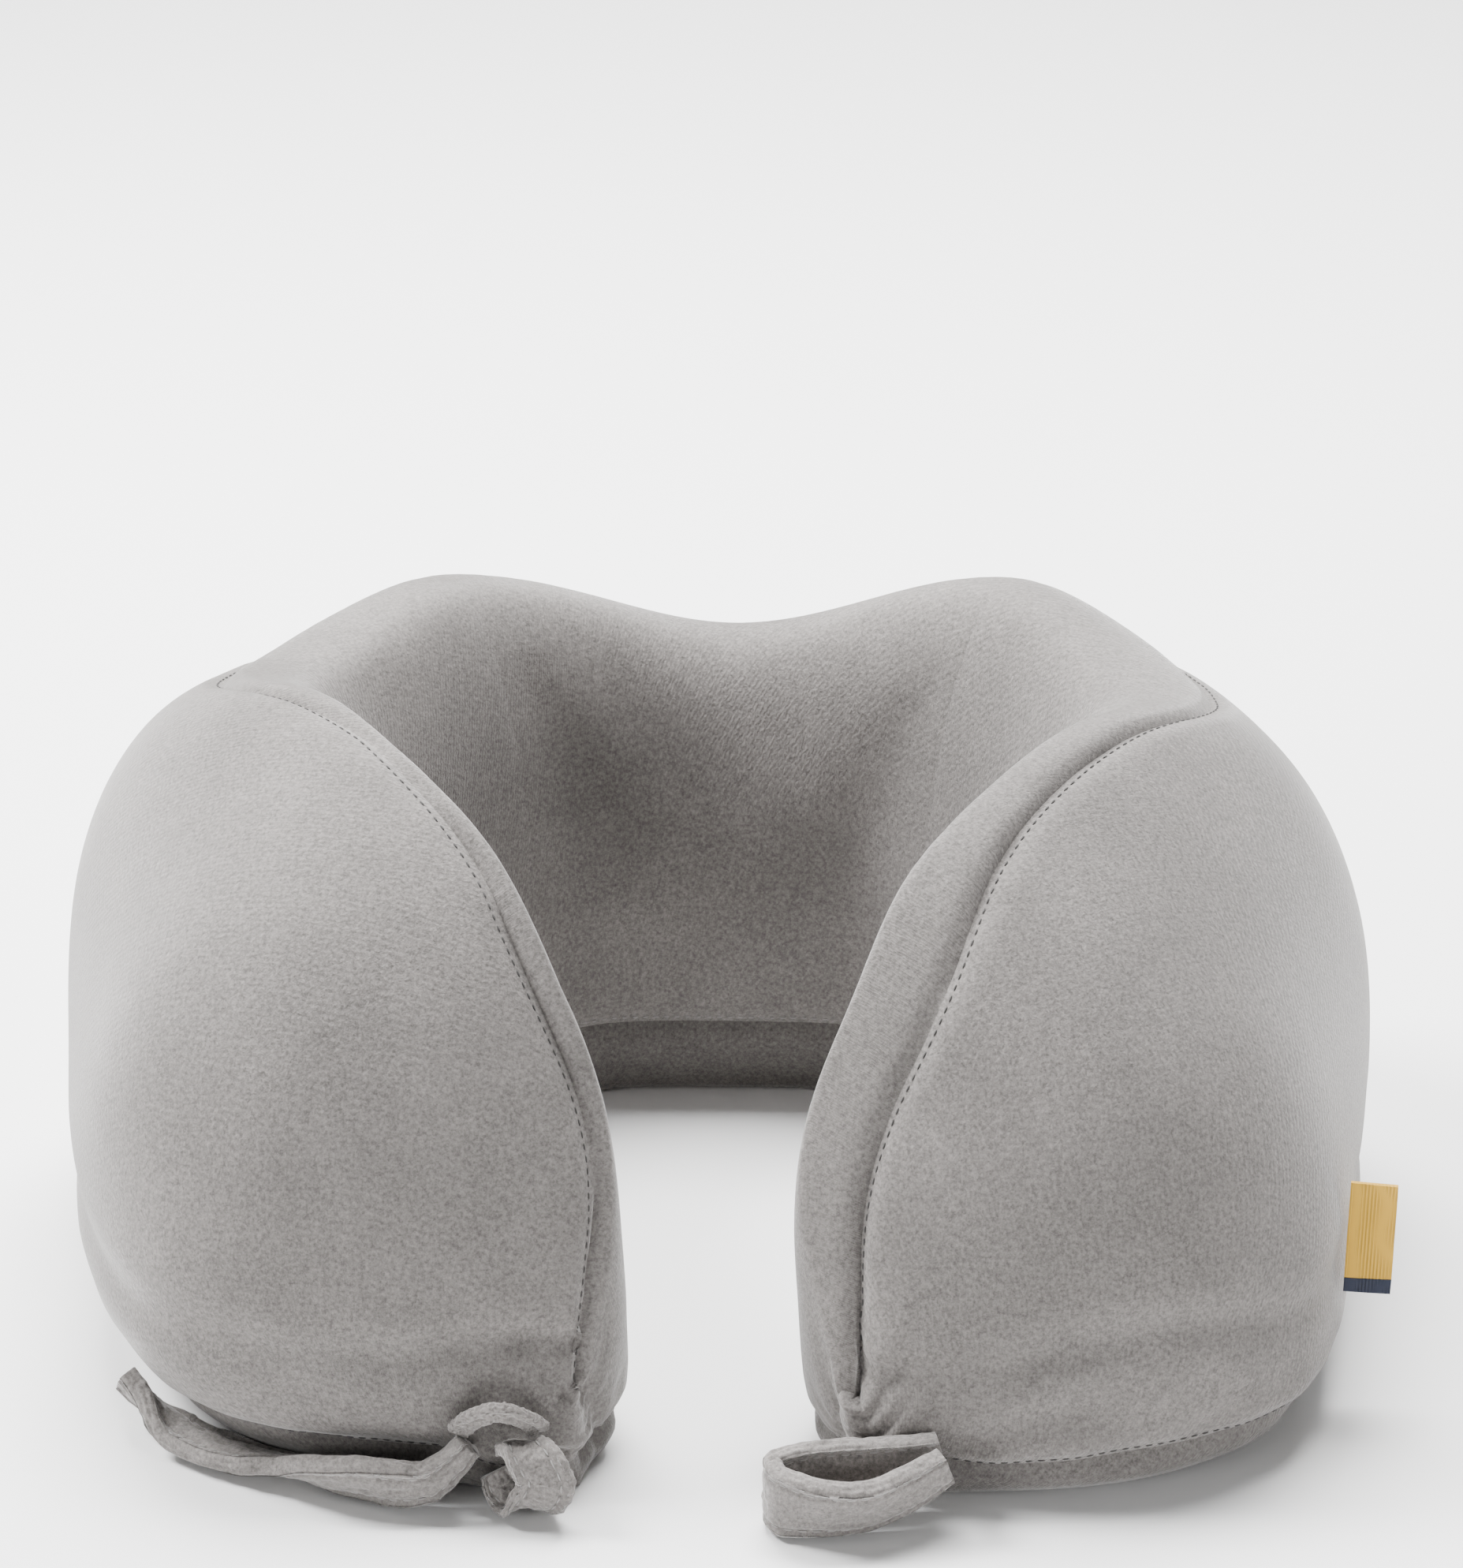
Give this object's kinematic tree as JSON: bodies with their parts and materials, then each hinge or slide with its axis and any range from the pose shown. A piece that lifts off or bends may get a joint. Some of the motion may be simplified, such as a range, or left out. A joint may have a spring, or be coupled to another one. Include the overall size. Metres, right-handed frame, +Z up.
{
  "type": "neck pillow",
  "caption": "U-shaped neck pillow with high rounded arms, a lower middle at the back, a zipped velour cover over a foam core, and strap loops at the tips",
  "frame": {"origin": "under the middle of the bounding box, on the surface that the pillow rests on", "axes": "+X to the right seen from the open side, +Y toward the back of the neck, +Z up; the U opens toward -Y"},
  "size_m": [0.304, 0.2596, 0.1388],
  "materials": {
    "velour": "grey short-pile velour with a fine diagonal knit",
    "strap_velour": "folded grey velour strap with two stitch lines",
    "liner": "thin white knitted liner",
    "foam": "pale moulded slow-rebound foam",
    "zip_tape": "woven grey polyester tape",
    "zip_coil": "grey nylon coil",
    "zip_metal": "satin grey metal",
    "label": "woven yellow label with a dark end, no lettering"
  },
  "bodies": {
    "back": {"foam_core_back": "foam", "liner_back": "liner", "cover_outer_back": "velour", "cover_base_back": "velour", "cover_neck_back": "velour", "zip_tape_upper": "zip_tape", "zip_coil_upper": "zip_coil", "zip_tape_lower": "zip_tape", "zip_coil_lower": "zip_coil", "zip_stop_left": "zip_metal", "zip_stop_right": "zip_metal"},
    "arm_left": {"foam_core_arm_left": "foam", "liner_arm_left": "liner", "cover_outer_arm_left": "velour", "cover_base_arm_left": "velour", "cover_gusset_left": "velour", "strap_long_left": "strap_velour", "strap_collar_left": "strap_velour"},
    "arm_right": {"foam_core_arm_right": "foam", "liner_arm_right": "liner", "cover_outer_arm_right": "velour", "cover_base_arm_right": "velour", "cover_gusset_right": "velour"},
    "slider": {"zip_slider": "zip_metal", "zip_bridge": "zip_metal"},
    "pull": {"zip_pull": "zip_metal"},
    "loop_right": {"strap_loop_right": "strap_velour"},
    "ring_left": {"strap_ring_left": "strap_velour"},
    "label_flag": {"label": "label"}
  },
  "joints": [
    {"name": "arm_right_flex", "type": "hinge", "parent": "back", "child": "arm_right", "pos_m": [0.09695, 0.11102, 0.06], "axis": [0, 0, 1], "range_deg": [0, 20], "stiffness_Nm_per_rad": 1.5},
    {"name": "arm_left_flex", "type": "hinge", "parent": "back", "child": "arm_left", "pos_m": [-0.09415, 0.11102, 0.06], "axis": [0, 0, -1], "range_deg": [0, 20], "stiffness_Nm_per_rad": 1.5},
    {"name": "zip_run", "type": "hinge", "parent": "back", "child": "slider", "pos_m": [0.00145, -0.16063, 0.023], "axis": [0, 0, 1], "range_deg": [0, 24]},
    {"name": "pull_swing", "type": "hinge", "parent": "slider", "child": "pull", "pos_m": [0.06291, 0.12561, 0.023], "axis": [0, 0, 1], "range_deg": [0, 110]},
    {"name": "loop_lift", "type": "hinge", "parent": "arm_right", "child": "loop_right", "pos_m": [0.0494, -0.1148, 0.014], "axis": [0, 1, 0], "range_deg": [0, 60]},
    {"name": "ring_swing", "type": "hinge", "parent": "arm_left", "child": "ring_left", "pos_m": [-0.042, -0.1156, 0.0142], "axis": [-1, 0, 0], "range_deg": [0, 20]},
    {"name": "label_flap", "type": "hinge", "parent": "arm_right", "child": "label_flag", "pos_m": [0.13748, -0.06316, 0.039], "axis": [0, 0, 1], "range_deg": [-45, 45], "stiffness_Nm_per_rad": 0.0004}
  ]
}
